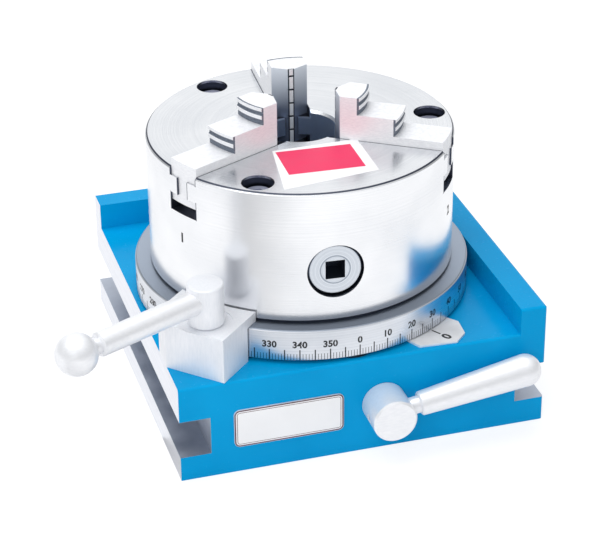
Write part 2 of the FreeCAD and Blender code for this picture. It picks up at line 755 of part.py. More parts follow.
def pinion_pins():
    """Three pins from behind whose ends sit in the pinions' grooves."""
    low = size("flange_top + running_gap")
    high = size("pinion_axis - pinion_radius + pin_groove_depth - scroll_bore_gap")
    pin = Part.makeCylinder(size("pin_radius"), high - low, Vector(size("pin_circle"), 0, low))
    shaped("pinion_pins", Part.makeCompound(copies_around(pin, 3, size("chuck_turn") + 60)))


# --------------------------------------------------------- scroll and pinions

def cone_tooth(points_at, inner, outer):
    """A tooth that shrinks towards the crossing of the two gear axes."""
    rings = []
    for along in (inner, outer):
        spots = [Vector(along, across, up) for across, up in points_at(along)]
        rings.append(Part.makePolygon(spots + spots[:1]))
    return Part.makeLoft(rings, True, True)


def gear_ratio():
    return size("pinion_teeth / gear_teeth")


def tooth_points(along, sign, root_width):
    """Trapezoid across a bevel tooth at a distance from the crossing of the axes.

    The sign is +1 for the pinion, whose teeth point away from its axis, and -1 for the scroll.
    """
    slope = gear_ratio()
    module = 2 * slope / size("pinion_teeth") * along
    root = along * slope - sign * size("tooth_root + tooth_sink") * module
    tip = along * slope + sign * size("tooth_top") * module
    wide = size("2 * %s" % root_width) * module
    narrow = size("2 * tooth_tip_width") * module
    return [(-wide, root), (wide, root), (narrow, tip), (-narrow, tip)]


def thread_middle(angle, offset=0.0):
    """Radius of the scroll's ridge, which grows anticlockwise from the first jaw's direction."""
    return size("thread_inner + thread_width / 2") + offset + size("scroll_pitch") * angle / (2 * math.pi)


def scroll_thread():
    """Flat-topped spiral ridge that the jaws' teeth run in."""
    outer = size("scroll_radius")
    ridge = spiral_face().extrude(Vector(0, 0, size("thread_height")))
    ridge.translate(Vector(0, 0, size("plate_top")))
    return ridge.common(Part.makeCylinder(outer, size("thread_height"), Vector(0, 0, size("plate_top"))))


def spiral_face():
    """Face between two spirals half a thread width either side of the middle one."""
    half = size("thread_width / 2")
    turns = math.ceil(size("(scroll_radius - thread_inner) / scroll_pitch"))
    sides = []
    for offset in (-half, half):
        arcs = []
        for part in range(turns * 4):
            spots = []
            for share in (0, 0.5, 1):
                angle = (part + share) * math.pi / 2
                radius = thread_middle(angle, offset)
                spots.append(Vector(radius * math.cos(angle), radius * math.sin(angle), 0))
            arcs.append(Part.Arc(*spots).toShape())
        sides.append(arcs)
    inner, outer = sides
    start = Part.makeLine(inner[0].Vertexes[0].Point, outer[0].Vertexes[0].Point)
    end = Part.makeLine(inner[-1].Vertexes[-1].Point, outer[-1].Vertexes[-1].Point)
    return Part.Face(Part.Wire(Part.__sortEdges__(inner + [end] + outer + [start])))


def fused(name, pieces, turn=None):
    """Several overlapping objects made one sub-part."""
    joined = DOC.addObject("Part::MultiFuse", "Fuse_" + name)
    joined.Shapes = pieces
    if turn is not None:
        joined.Placement = Placement(Vector(), Rotation(Vector(0, 0, 1), 1))
        joined.setExpression("Placement.Rotation.Angle", spelled(turn))
    DOC.recompute()
    return node(joined, name)


def raw(name, shape):
    """A shape that becomes part of a larger sub-part."""
    made = DOC.addObject("Part::Feature", "Raw_" + name)
    made.Shape = shape
    return made


def raw_body(name):
    """A body in the frame of the sub-part that it becomes part of."""
    body = DOC.addObject("PartDesign::Body", "Raw_" + name)
    body.Label = name + "_blank"
    return body


def scroll_plate():
    """Scroll: spiral ridge above, ring of bevel teeth below."""
    blank = raw_body("scroll_plate")
    slope = "pinion_teeth / gear_teeth"
    root = "(%s) * (1 + 2 * tooth_root / pinion_teeth)" % slope
    inner = "hub_radius + scroll_bore_gap"
    revolve(blank, [
        (inner, "scroll_bottom"), ("gear_inner - 1.5", "scroll_bottom"),
        ("gear_inner - 1.5", "pinion_axis + (gear_inner - 1.5) * %s" % root),
        ("gear_outer + 1.5", "pinion_axis + (gear_outer + 1.5) * %s" % root),
        ("scroll_radius", "pinion_axis + (gear_outer + 1.5) * %s" % root),
        ("scroll_radius", "plate_top"), (inner, "plate_top")], "turning")
    tooth = cone_tooth(lambda along: tooth_points(along, -1, "gear_root_width"),
                       size("gear_inner"), size("gear_outer"))
    tooth.translate(Vector(0, 0, size("pinion_axis")))
    count = int(size("gear_teeth"))
    teeth = Part.makeCompound(copies_around(tooth, count, 180.0 / count))
    fused("scroll_plate", [blank, raw("scroll_ridge", scroll_thread()), raw("scroll_teeth", teeth)],
          "chuck_turn")


def pinion(number):
    """Bevel pinion with its nose, body, pin groove and square key socket, lying along +X."""
    name = "pinion_%d" % number
    blank = raw_body(name)
    share = "(pinion_teeth / gear_teeth) * (1 - 2 * tooth_root / pinion_teeth)"
    groove = "pinion_radius - pin_groove_depth"
    shank = "gear_outer * %s" % share
    corners = [
        ("gear_inner - pinion_nose_length", "0"), ("gear_inner - pinion_nose_length", "pinion_nose_radius"),
        ("gear_inner", "pinion_nose_radius"), ("gear_inner", "gear_inner * " + share),
        ("gear_outer", shank), ("pinion_shoulder", shank), ("pinion_shoulder", "pinion_radius"),
        ("pin_circle - pin_radius - 0.2", "pinion_radius"), ("pin_circle - pin_radius - 0.2", groove),
        ("pin_circle + pin_radius + 0.2", groove), ("pin_circle + pin_radius + 0.2", "pinion_radius"),
        ("pinion_face - pinion_chamfer", "pinion_radius"), ("pinion_face", "pinion_radius - pinion_chamfer"),
        ("pinion_face", "0")]
    sketch = add_loop(new_sketch(blank, "XZ_Plane", "outline"), corners)
    made, before, sign = feature(blank, "Revolution", "turning", sketch, 1)
    made.ReferenceAxis = (sketch, ["H_Axis"])
    made.Angle = 360
    finish(blank, made, before, sign)
    socket = add_box(new_sketch(blank, "YZ_Plane", "socket", "pinion_face - key_depth"),
                     "-key_square / 2", "key_square / 2", "-key_square / 2", "key_square / 2")
    pocket(blank, socket, "socket", "key_depth + 1")
    tooth = cone_tooth(lambda along: tooth_points(along, 1, "pinion_root_width"),
                       size("gear_inner"), size("gear_outer"))
    count = int(size("pinion_teeth"))
    teeth = []
    for step in range(count):
        copy = tooth.copy()
        copy.rotate(Vector(), Vector(1, 0, 0), 360.0 * step / count)
        teeth.append(copy)
    joined = fused(name, [blank, raw(name + "_teeth", Part.makeCompound(teeth))],
                   "chuck_turn + 180 + %d" % (120 * (number - 1)))
    joined.setExpression("Placement.Base.z", spelled("pinion_axis"))
    DOC.recompute()


# ---------------------------------------------------------------------- jaws

def flank(radius, curve, half_width):
    """Three points of a tooth flank that follows the spiral at the jaw's middle line."""
    drift = size("scroll_pitch") / (2 * math.pi)
    aim = Vector(radius, -drift, 0).normalize()
    centre = Vector(radius, 0, 0) - aim * curve
    spots = []
    for across in (-half_width, 0, half_width):
        reach = math.sqrt(curve ** 2 - (across - centre.y) ** 2)
        spots.append(Vector(centre.x + reach, across, 0))
    return spots


def jaw_teeth(direction):
    """Teeth under a jaw, placed in the grooves that lie in the jaw's direction."""
    pitch = size("scroll_pitch")
    thick = pitch - size("thread_width") - 2 * size("tooth_gap")
    half = size("jaw_width / 2")
    low = size("tooth_tip")
    first = thread_middle(math.radians(direction)) + pitch / 2
    radius = first - pitch * math.floor((first - size("jaw_nose + jaw_width / 2")) / pitch)
    teeth = []
    while radius + thick < size("jaw_end - 1"):
        outer = flank(radius + thick / 2, size("thread_inner"), half)
        inner = flank(radius - thick / 2, size("scroll_radius"), half)
        edges = [Part.Arc(*outer).toShape(), Part.makeLine(outer[2], inner[2]),
                 Part.Arc(*reversed(inner)).toShape(), Part.makeLine(inner[0], outer[0])]
        tooth = Part.Face(Part.Wire(edges)).extrude(Vector(0, 0, size("ceiling + 0.5") - low))
        tooth.translate(Vector(0, 0, low))
        teeth.append(tooth)
        radius += pitch
    return Part.makeCompound(teeth)


def jaw(number, direction):
    """Stepped jaw along +X: V-shaped nose, two serrated risers, T-grooves and scroll teeth."""
    name = "jaw_%d" % number
    blank = raw_body(name)
    half = "jaw_width / 2"
    flat = "nose_flat / 2"
    shoulder = "jaw_nose + (%s - %s) / tan(60)" % (half, flat)
    plan = add_loop(new_sketch(blank, "XY_Plane", "plan", "ceiling"), [
        ("jaw_nose", "-" + flat), (shoulder, "-" + half), ("jaw_end + 1", "-" + half),
        ("jaw_end + 1", half), (shoulder, half), ("jaw_nose", flat)])
    pad(blank, plan, "blank", "jaw_top - ceiling")
    far = "jaw_end + 9"
    for riser, floor, top in (("inner_riser", "middle_step", "top_step"),
                              ("outer_riser", "low_step", "middle_step")):
        low = "chuck_face + " + floor
        third = "(%s - %s) / 3" % (top, floor)
        cut = "%s - serration" % riser
        steps = []
        for wall, share in ((riser, "groove_high + 2 * groove_share"), (cut, "groove_high + groove_share"),
                            (cut, "groove_high"), (riser, "groove_high - groove_share"),
                            (riser, "groove_low + groove_share"), (cut, "groove_low")):
            steps.append((wall, "%s + (%s) * %s" % (low, share, third)))
        revolve(blank, [(cut, low), (far, low), (far, "jaw_top + 1"), (riser, "jaw_top + 1")] + steps,
                riser, "Groove")
    revolve(blank, [("jaw_end", "ceiling - 1"), (far, "ceiling - 1"), (far, "jaw_top + 1"),
                    ("jaw_end", "jaw_top + 1")], "end", "Groove")
    grooves = new_sketch(blank, "YZ_Plane", "grooves")
    add_box(grooves, "neck_width / 2", half + " + 1", "groove_bottom", "groove_top")
    add_box(grooves, "-%s - 1" % half, "-neck_width / 2", "groove_bottom", "groove_top")
    pocket(blank, grooves, "grooves", far)
    notches = new_sketch(blank, "XZ_Plane", "nose_notches")
    for step in range(int(size("nose_notch_count"))):
        middle = "jaw_top - (%d + 0.5) * nose_notch_pitch" % step
        add_loop(notches, [("jaw_nose - 1", middle + " - nose_notch_height / 2"),
                           ("jaw_nose + nose_notch_depth", middle),
                           ("jaw_nose - 1", middle + " + nose_notch_height / 2")])
    pocket(blank, notches, "nose_notches", "jaw_width", middle=True)
    fused(name, [blank, raw(name + "_teeth", jaw_teeth(direction))], "chuck_turn + %d" % direction)


# --------------------------------------------------------------- clamp lever

def clamp_post():
    """Round nut on the clamp stud."""
    body = new_body("clamp_post", x="stud_circle * cos(block_angle)", y="stud_circle * sin(block_angle)")
    foot = "block_top - spot_depth + running_gap"
    edge = "post_chamfer"
    revolve(body, [
        ("stud_radius + running_gap", foot), ("post_radius - " + edge, foot),
        ("post_radius", foot + " + " + edge), ("post_radius", "post_top - %s / 2" % edge),
        ("post_radius - %s / 2" % edge, "post_top"), ("0", "post_top"),
        ("0", "block_top + stud_up + 1"), ("stud_radius + running_gap", "block_top + stud_up + 1")], "turning")
    hole = new_sketch(body, "YZ_Plane", "rod_hole", "post_radius - rod_spigot_depth")
    add_circle(hole, "0", "rod_level", "rod_spigot_radius")
    pocket(body, hole, "rod_hole", "post_radius")
    body.setExpression("Placement.Rotation.Angle", spelled("rod_angle"))
    DOC.recompute()


def along_rod(start, end, radius):
    return rod_between(Vector(start, 0, 0), Vector(end, 0, 0), radius)


def clamp_rod():
    """Rod that leaves the post square to it and ends in the ball's neck."""
    post = size("post_radius")
    main_end = size("ball_reach - ball_radius - rod_neck_length + 1")
    radius = size("rod_radius")
    neck = size("rod_neck_radius")
    profile = [(main_end, 0), (main_end, radius - 0.8), (main_end - 0.8, radius), (0, radius), (0, 0)]
    spots = [Vector(along, 0, up) for along, up in profile]
    main = Part.Face(Part.makePolygon(spots + spots[:1])).revolve(Vector(), Vector(1, 0, 0), 360)
    main = main.cut(Part.makeCylinder(post, 4 * radius, Vector(0, 0, -2 * radius)))
    spigot = along_rod(post - size("rod_spigot_depth"), post + 2, size("rod_spigot_radius"))
    tail = along_rod(main_end - 1, size("ball_reach - ball_radius / 2"), neck)
    rod = main.fuse([spigot, tail])
    place_rod(shaped("clamp_rod", rod))


def clamp_ball():
    ball = Part.makeSphere(size("ball_radius"), Vector(size("ball_reach"), 0, 0))
    bore = along_rod(0, size("ball_reach - ball_radius / 2"), size("rod_neck_radius"))
    place_rod(shaped("clamp_ball", ball.cut(bore)))


def place_rod(piece):
    """Lays a piece made along +X along the clamp rod's direction."""
    piece.Placement = Placement(Vector(), Rotation(Vector(0, 0, 1), 1))
    piece.setExpression("Placement.Rotation.Angle", spelled("rod_angle"))
    piece.setExpression("Placement.Base.x", spelled("stud_circle * cos(block_angle)"))
    piece.setExpression("Placement.Base.y", spelled("stud_circle * sin(block_angle)"))
    piece.setExpression("Placement.Base.z", spelled("rod_level"))


# --------------------------------------------------- index lever and plunger

def along_front(start, end, radius):
    """Round bar on the lever shaft's axis between two places along Y."""
    spot = Vector(size("lever_x"), size(start), size("lever_height"))
    return rod_between(spot, Vector(spot.x, size(end), spot.z), size(radius))


def mesh_half(share):
    """Half the gap between two teeth at a share of the module beyond the pitch line."""
    module = size("2 * shaft_pitch_radius / shaft_teeth")
    return module * (size("rack_gap_half") + share * math.tan(math.radians(size("rack_flank_angle"))))


def lever_shaft():
    """Shaft with pinion teeth cut in it beside the plunger, and a thin end journal."""
    shaft = along_front("-base_front - hub_gap - hub_length + 4", "shaft_end", "shaft_radius")
    shaft = shaft.fuse(along_front("shaft_end - 1", "shaft_end + journal_length", "journal_end_radius"))
    module = size("2 * shaft_pitch_radius / shaft_teeth")
    pitch_radius = size("shaft_pitch_radius")
    start = size("plunger_y - plunger_radius - 0.5")
    corners = []
    root = size("rack_tooth_root")
    for share, side in ((-root, -1), (root, -1), (root, 1), (-root, 1)):
        corners.append(Vector(pitch_radius + share * module, start, side * mesh_half(share)))
    gap = Part.Face(Part.makePolygon(corners + corners[:1]))
    gap = gap.extrude(Vector(0, size("shaft_end") - start + 0.01, 0))
    count = int(size("shaft_teeth"))
    axis_spot = Vector(size("lever_x"), 0, size("lever_height"))
    gaps = []
    for step in range(count):
        copy = gap.copy()
        copy.rotate(Vector(), Vector(0, 1, 0), 360.0 * (step + 0.5) / count)
        copy.translate(axis_spot)
        gaps.append(copy)
    shaped("lever_shaft", shaft.cut(gaps))


def lever_hub():
    """Plain round hub with a blind bore for the shaft and a tapped side hole for the handle."""
    outer = "-base_front - hub_gap - hub_length"
    hub = along_front(outer, "-base_front - hub_gap", "hub_radius_front")
    rims = [edge for edge in hub.Edges if edge.Closed and abs(edge.BoundBox.YMin - size(outer)) < 1e-6]
    hub = hub.makeChamfer(size("hub_chamfer"), rims)
    hub = hub.cut(along_front(outer + " + 4", "-base_front", "shaft_radius"))
    side = handle_bar("hub_radius_front - handle_spigot_depth", "hub_radius_front + 1", "handle_neck_radius")
    screw = set_screw_bar("shaft_radius", "hub_radius_front + 1")
    shaped("lever_hub", hub.cut([side, screw]))


def set_screw_bar(start, end):
    """Round bar on the set screw's axis, on the far side of the hub from the handle."""
    base = Vector(size("lever_x"), -size("base_front + handle_offset"), size("lever_height"))
    aim = Vector(-math.cos(math.radians(size("handle_angle"))), 0, -math.sin(math.radians(size("handle_angle"))))
    return rod_between(base + aim * size(start), base + aim * size(end), size("set_screw_radius"))


def hub_set_screw():
    shaped("hub_set_screw", set_screw_bar("shaft_radius", "hub_radius_front - 0.8"))


def handle_place():
    """Where a piece made along +X goes, to lie at the handle's angle on the hub."""
    turn = Rotation(Vector(0, 1, 0), -size("handle_angle"))
    spot = Vector(size("lever_x"), -size("base_front + handle_offset"), size("lever_height"))
    return Placement(spot, turn)


def handle_bar(start, end, radius):
    bar = along_rod(size(start), size(end), size(radius))
    bar.Placement = handle_place().multiply(bar.Placement)
    return bar


def handle_stud():
    """Stud between hub and handle, with its neck showing."""
    neck = handle_bar("hub_radius_front - handle_spigot_depth", "handle_start", "handle_neck_radius")
    tail = handle_bar("handle_start - 1", "handle_start + 10", "handle_neck_radius - 1")
    shaped("handle_stud", neck.fuse(tail))


def lever_handle():
    """Handle that grows from root to end and finishes in a rounded nose."""
    root = size("handle_root_radius")
    end = size("handle_end_radius")
    start = size("handle_start")
    reach = size("handle_reach")
    bore = size("handle_neck_radius - 1")
    bend = end * math.sqrt(0.5)
    nose = Part.Arc(Vector(reach - end, 0, end), Vector(reach - end + bend, 0, bend), Vector(reach, 0, 0))
    spots = [Vector(reach, 0, 0), Vector(start + 10, 0, 0), Vector(start + 10, 0, bore),
             Vector(start, 0, bore), Vector(start, 0, root - 0.8), Vector(start + 0.8, 0, root),
             Vector(reach - end, 0, end)]
    edges = [Part.makeLine(one, two) for one, two in zip(spots, spots[1:])] + [nose.toShape()]
    grip = Part.Face(Part.Wire(edges)).revolve(Vector(), Vector(1, 0, 0), 360)
    made = shaped("lever_handle", grip)
    made.Placement = handle_place()


def index_plunger():
    """Plunger with a rack on its side, a reduced tip above and the spring's pocket below."""
    module = size("2 * shaft_pitch_radius / shaft_teeth")
    radius = size("plunger_radius")
    foot = size("plunger_foot")
    shoulder = size("base_top - 0.5")
    tip = size("base_top + plunger_tip_reach")
    tip_radius = size("plunger_tip_radius")
    pocket_radius = size("spring_radius + spring_pocket_gap")
    pocket_top = foot + size("spring_pocket")
    plunger = turned_shape([
        (pocket_radius, foot), (radius - 0.5, foot), (radius, foot + 0.5), (radius, shoulder - 1),
        (radius - 1, shoulder), (tip_radius, shoulder), (tip_radius, tip - 1.5), (tip_radius - 1.2, tip),
        (0, tip), (0, pocket_top), (pocket_radius, pocket_top)])
    line = size("rack_offset")
    level = size("lever_height")
    pitch = math.pi * module
    root = size("rack_tooth_root")
    top = size("rack_tooth_top")
    low = level - 2 * pitch - mesh_half(top)
    high = level + 4 * pitch + mesh_half(top)
    width = 2 * radius + 2
    cuts = [Part.makeBox(radius, width, high - low, Vector(line + top * module, -width / 2, low))]
    for step in range(-2, 5):
        corners = [Vector(line + share * module, -width / 2, level + step * pitch + side * mesh_half(share))
                   for share, side in ((-root, -1), (2, -1), (2, 1), (-root, 1))]
        gap = Part.Face(Part.makePolygon(corners + corners[:1]))
        cuts.append(gap.extrude(Vector(0, width, 0)))
    plunger = plunger.cut(cuts)
    plunger.translate(Vector(size("plunger_x"), size("plunger_y"), 0))
    shaped("index_plunger", plunger)


# -------------------------------------------------------------------- output

def build():
    base_casting()
    spindle_bush()
    thrust_washer()
    zero_plate()
    name_plate()
    clamp_block()
    clamp_stud()
    lever_bush()
    plunger_bush()
    spring_plug()
    plunger_spring()
    index_spindle()
    spindle_nut()
    chuck_body()
    chuck_cover()
    chuck_screws()
    cover_screws()
    pinion_pins()
    scroll_plate()
    for number in (1, 2, 3):
        pinion(number)
    for number, direction in ((3, 0), (1, 120), (2, 240)):
        jaw(number, direction)
    clamp_post()
    clamp_rod()
    clamp_ball()
    lever_shaft()
    lever_hub()
    hub_set_screw()
    handle_stud()
    lever_handle()
    index_plunger()
    DOC.recompute()


def check_and_write():
    for thing in DOC.Objects:
        if "Invalid" in thing.State or "Error" in thing.State:
            raise ValueError("%s failed: %s" % (thing.Label, thing.State))
    for name, piece in NODES.items():
        if piece.Shape.isNull() or not piece.Shape.isValid():
            raise ValueError(name + " has no valid shape")
    os.makedirs("parts", exist_ok=True)
    for name, piece in NODES.items():
        piece.Shape.exportStep("parts/%s.step" % name)
        print("%-16s %2d solids %12.1f mm3" % (name, len(piece.Shape.Solids), piece.Shape.Volume))


build()
check_and_write()
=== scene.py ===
"""Dressed model of an indexing head: finishes, degree marks, plates, studio and camera."""
import math

import bmesh
import bpy
from mathutils import Euler, Matrix, Vector


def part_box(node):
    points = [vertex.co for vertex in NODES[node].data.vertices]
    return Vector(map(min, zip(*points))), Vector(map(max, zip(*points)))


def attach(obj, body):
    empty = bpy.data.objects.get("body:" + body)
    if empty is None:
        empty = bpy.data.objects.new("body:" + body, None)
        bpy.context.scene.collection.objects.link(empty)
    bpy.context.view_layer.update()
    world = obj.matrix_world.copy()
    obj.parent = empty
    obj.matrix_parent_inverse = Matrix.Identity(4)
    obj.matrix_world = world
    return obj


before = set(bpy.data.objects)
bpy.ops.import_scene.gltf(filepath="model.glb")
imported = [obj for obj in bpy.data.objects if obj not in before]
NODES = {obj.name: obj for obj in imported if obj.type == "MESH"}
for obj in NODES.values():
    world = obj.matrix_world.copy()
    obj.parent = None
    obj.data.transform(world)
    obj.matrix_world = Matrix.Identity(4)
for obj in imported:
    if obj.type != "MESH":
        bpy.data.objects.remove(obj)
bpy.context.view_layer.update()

MM = 0.001


def low(node):
    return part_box(node)[0]


def high(node):
    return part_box(node)[1]


# Directions about the spindle axis, in degrees: the third jaw, the plunger and the zero plate.
CHUCK_TURN = 86.2
PLUNGER_ANGLE = -87.05
ZERO_ANGLE = -57.4

JAWS = 3
PINION_LEVEL = (low("pinion_3").z + high("pinion_3").z) / 2
MARK_SKIN = 0.04 * MM
MARK_SINK = 0.02 * MM


# ------------------------------------------------------------------ finishes

class Nodes:
    """Short ways to add shader nodes to a tree."""

    def __init__(self, tree):
        self.tree = tree

    def add(self, kind, **settings):
        made = self.tree.nodes.new(kind)
        for key, value in settings.items():
            setattr(made, key, value)
        return made

    def link(self, source, target):
        self.tree.links.new(source, target)

    def feed(self, target, value):
        """Links an output to an input, or writes a plain value to it."""
        if isinstance(value, bpy.types.NodeSocket):
            self.link(value, target)
        else:
            target.default_value = value

    def fed(self, made, *values):
        """Feeds a node's inputs in order and gives its first output."""
        for socket, value in zip(made.inputs, values):
            self.feed(socket, value)
        return made.outputs[0]

    def calc(self, operation, *values, clamp=False):
        return self.fed(self.add("ShaderNodeMath", operation=operation, use_clamp=clamp), *values)

    def ramp(self, value, factor, offset):
        """The value times the factor plus the offset, held between 0 and 1."""
        return self.calc("MULTIPLY_ADD", value, factor, offset, clamp=True)

    def times(self, first, *others):
        """The product, so a share that is 1 only where all of them are."""
        for other in others:
            first = self.calc("MULTIPLY", first, other)
        return first

    def most(self, first, *others):
        """The greatest, so a share that is 1 where any of them is."""
        for other in others:
            first = self.calc("MAXIMUM", first, other)
        return first

    def below(self, value, limit):
        return self.calc("LESS_THAN", value, limit)

    def above(self, value, limit):
        return self.calc("GREATER_THAN", value, limit)

    def within(self, value, lowest, highest):
        return self.times(self.above(value, lowest), self.below(value, highest))

    def length(self, first, second):
        """Length of the diagonal over two sides at right angles."""
        return self.calc("SQRT", self.calc("ADD", self.times(first, first), self.times(second, second)))

    def vector(self, x, y, z):
        return self.fed(self.add("ShaderNodeCombineXYZ"), x, y, z)

    def split(self, vector):
        made = self.add("ShaderNodeSeparateXYZ")
        self.link(vector, made.inputs[0])
        return made.outputs[0], made.outputs[1], made.outputs[2]


class Finish(Nodes):
    """A procedural material with its shader, laid out in the object's own frame."""

    def __init__(self, name, colour, metallic, roughness, **fixed):
        self.material = bpy.data.materials.new(name)
        self.material.use_nodes = True
        super().__init__(self.material.node_tree)
        self.shader = self.tree.nodes["Principled BSDF"]
        values = {"Base Color": (*colour, 1.0), "Metallic": metallic, "Roughness": roughness}
        values.update({key.replace("_", " "): value for key, value in fixed.items()})
        for key, value in values.items():
            self.shader.inputs[key].default_value = value
        self.place = self.add("ShaderNodeTexCoord").outputs["Object"]

    def axes(self):
        return self.split(self.place)

    def radius(self):
        x, y, _ = self.axes()
        return self.length(x, y)

    def noise(self, vector, scale, detail=2.0, roughness=0.5):
        made = self.add("ShaderNodeTexNoise")
        self.feed(made.inputs["Vector"], vector)
        made.inputs["Scale"].default_value = scale
        made.inputs["Detail"].default_value = detail
        made.inputs["Roughness"].default_value = roughness
        return made.outputs["Fac"]

    def grain(self, marks, cloud):
        """Fine tool marks over a broader mottle."""
        return self.calc("ADD", self.times(marks, 0.6), self.times(cloud, 0.4))

    def spread(self, value, low_in, high_in, low_out=0.0, high_out=1.0):
        made = self.add("ShaderNodeMapRange")
        self.feed(made.inputs["Value"], value)
        for key, number in zip(("From Min", "From Max", "To Min", "To Max"),
                               (low_in, high_in, low_out, high_out)):
            made.inputs[key].default_value = number
        return made.outputs["Result"]

    def blend(self, share, first, second):
        """A colour that goes from the first to the second with the share."""
        made = self.add("ShaderNodeMix", data_type="RGBA")
        self.feed(made.inputs["Factor"], share)
        for key, colour in (("A", first), ("B", second)):
            socket = [entry for entry in made.inputs if entry.name == key and entry.type == "RGBA"][0]
            self.feed(socket, colour if isinstance(colour, bpy.types.NodeSocket) else (*colour, 1.0))
        return [entry for entry in made.outputs if entry.type == "RGBA"][0]

    def weigh(self, share, first, second):
        """A number that goes from the first to the second with the share."""
        made = self.add("ShaderNodeMix", data_type="FLOAT")
        floats = [entry for entry in made.inputs if entry.type == "VALUE"]
        for socket, value in zip(floats, (share, first, second)):
            self.feed(socket, value)
        return [entry for entry in made.outputs if entry.type == "VALUE"][0]

    def colour(self, source):
        self.link(source, self.shader.inputs["Base Color"])

    def roughness(self, source):
        self.link(source, self.shader.inputs["Roughness"])

    def bump(self, height, depth):
        made = self.add("ShaderNodeBump")
        made.inputs["Strength"].default_value = 1.0
        made.inputs["Distance"].default_value = depth
        self.link(height, made.inputs["Height"])
        self.link(made.outputs["Normal"], self.shader.inputs["Normal"])

    def turned_tangent(self):
        made = self.add("ShaderNodeTangent", direction_type="RADIAL", axis="Z")
        self.link(made.outputs[0], self.shader.inputs["Tangent"])

    def along_across(self, direction):
        """Place along and across the nearest of three evenly spread directions, in degrees."""
        x, y, _ = self.axes()
        part = math.radians(360 / JAWS)
        turn = self.calc("SUBTRACT", self.calc("ARCTAN2", y, x), math.radians(direction) - part / 2)
        bent = self.calc("SUBTRACT", self.calc("FLOORED_MODULO", turn, part), part / 2)
        radius = self.radius()
        return (self.times(radius, self.calc("COSINE", bent)),
                self.calc("ABSOLUTE", self.times(radius, self.calc("SINE", bent))))


def painted_casting():
    """Blue enamel with faint orange peel, and bare milled iron where the base is machined."""
    made = Finish("blue_enamel", (0.0, 0.36, 0.73), 0.0, 0.3, Specular_IOR_Level=0.07)
    x, y, z = made.axes()
    lowest, highest = low("base_casting"), high("base_casting")
    hair = 0.05 * MM
    bore_radius = 47 * MM
    slot_low, slot_high, slot_depth = 13.7 * MM, 34.5 * MM, 16.0 * MM
    deck = high("spindle_bush").z
    bore = made.times(made.below(made.radius(), bore_radius), made.below(z, deck - hair))
    side = made.below(x, lowest.x + hair)
    foot = made.below(z, hair)
    ends = made.most(made.below(x, lowest.x + slot_depth + hair),
                     made.above(x, highest.x - slot_depth - hair))
    slot = made.times(ends, made.within(z, slot_low - hair, slot_high + hair))
    bare = made.most(side, foot, slot, bore)
    peel = made.noise(made.place, 420.0)
    cloud = made.noise(made.place, 22.0, 3.0)
    enamel = made.blend(made.spread(cloud, 0.3, 0.7), (0.0, 0.30, 0.63), (0.001, 0.345, 0.70))
    strokes = made.vector(made.times(x, 60.0), made.times(y, 60.0), made.times(z, 1600.0))
    milling = made.noise(strokes, 1.0, 3.0, 0.6)
    streaks = made.spread(milling, 0.3, 0.7)
    iron = made.blend(streaks, (0.76, 0.78, 0.84), (0.90, 0.91, 0.95))
    # The slot's inside is painted a darker grey-blue than the milled face: painted shade in the slot.
    slot_shade = made.blend(streaks, (0.42, 0.46, 0.54), (0.54, 0.58, 0.66))
    made.colour(made.blend(bare, enamel, made.blend(slot, iron, slot_shade)))
    made.link(made.weigh(bare, 0.0, 0.9), made.shader.inputs["Metallic"])
    made.roughness(made.weigh(bare, made.spread(peel, 0.3, 0.7, 0.18, 0.28),
                              made.spread(milling, 0.3, 0.7, 0.34, 0.5)))
    made.bump(made.weigh(bare, made.times(peel, 0.5), milling), 0.06 * MM)
    return made.material


def turned_steel(name, dark, light, roughness, lines, shade):
    """Steel turned or ground about the spindle axis, with fine lines round it.

    The shade gives the share of the surface that gets painted shade, and the colour painted there.
    """
    made = Finish(name, light, 1.0, roughness, Anisotropic=0.4)
    _, _, z = made.axes()
    radius = made.radius()
    groove = made.noise(made.vector(made.times(radius, lines), made.times(z, lines), 0.0), 1.0, 3.0, 0.65)
    both = made.grain(groove, made.noise(made.place, 30.0, 4.0))
    share, painted_shading = shade(made, radius, z)
    shaded_part_roughness = 0.45
    made.colour(made.blend(share, made.blend(made.spread(both, 0.35, 0.65), dark, light), painted_shading))
    made.roughness(made.weigh(share, made.spread(both, 0.35, 0.65, roughness * 1.2, roughness * 0.8),
                              shaded_part_roughness))
    made.bump(groove, 0.012 * MM)
    made.turned_tangent()
    return made.material


def inside_chuck(made, radius, z):
    """Painted shade in the guides and recesses, lighter and bluer in the bore, and painted shadow lines
    along the broken edges round them.
    """
    face = high("chuck_body").z
    recess_wall, side_wall, bore_radius, guide_start = 78.6 * MM, 79.9 * MM, 21.0 * MM, 15 * MM
    half_guide, half_neck, edge = 9.5 * MM, 3.6 * MM, 0.45 * MM
    along, across = made.along_across(CHUCK_TURN)
    outward = made.above(along, guide_start)
    # Painted shade in the recess under the face and deep in the guides, and a painted shadow line on the
    # upper part of the rim's chamfer.
    shares = [made.times(made.below(radius, recess_wall), made.below(z, face - 1.25 * MM)),
              made.times(made.below(radius, side_wall), made.below(across, half_guide + 0.1 * MM),
                         made.within(z, face - 30 * MM, face - 14 * MM)),
              made.times(made.within(radius, 78.75 * MM, 79.45 * MM), made.above(z, face - 0.8 * MM))]
    # Painted shadow lines along the guide's edges at its mouth, neck and foot, each with its lower and upper
    # depth under the face.
    for half, lowest, highest in ((half_guide, 4.9, -1.0), (half_neck, 14.2, 4.1), (half_guide, 23.8, 13.6)):
        shares.append(made.times(made.within(across, half, half + edge), outward,
                                 made.within(z, face - lowest * MM, face - highest * MM)))
    bore = made.below(radius, bore_radius)
    return made.most(*shares), made.blend(bore, (0.09, 0.10, 0.135), (0.66, 0.76, 0.92))


def flange_shoulder(made, radius, z):
    """The flange's upper shoulder and everything inside it, darker than the rim: painted shade under the
    chuck.
    """
    shoulder = high("index_spindle").z - 3.4 * MM
    inner_radius = 87.0 * MM
    return made.most(made.above(z, shoulder), made.below(radius, inner_radius)), (0.37, 0.42, 0.50)


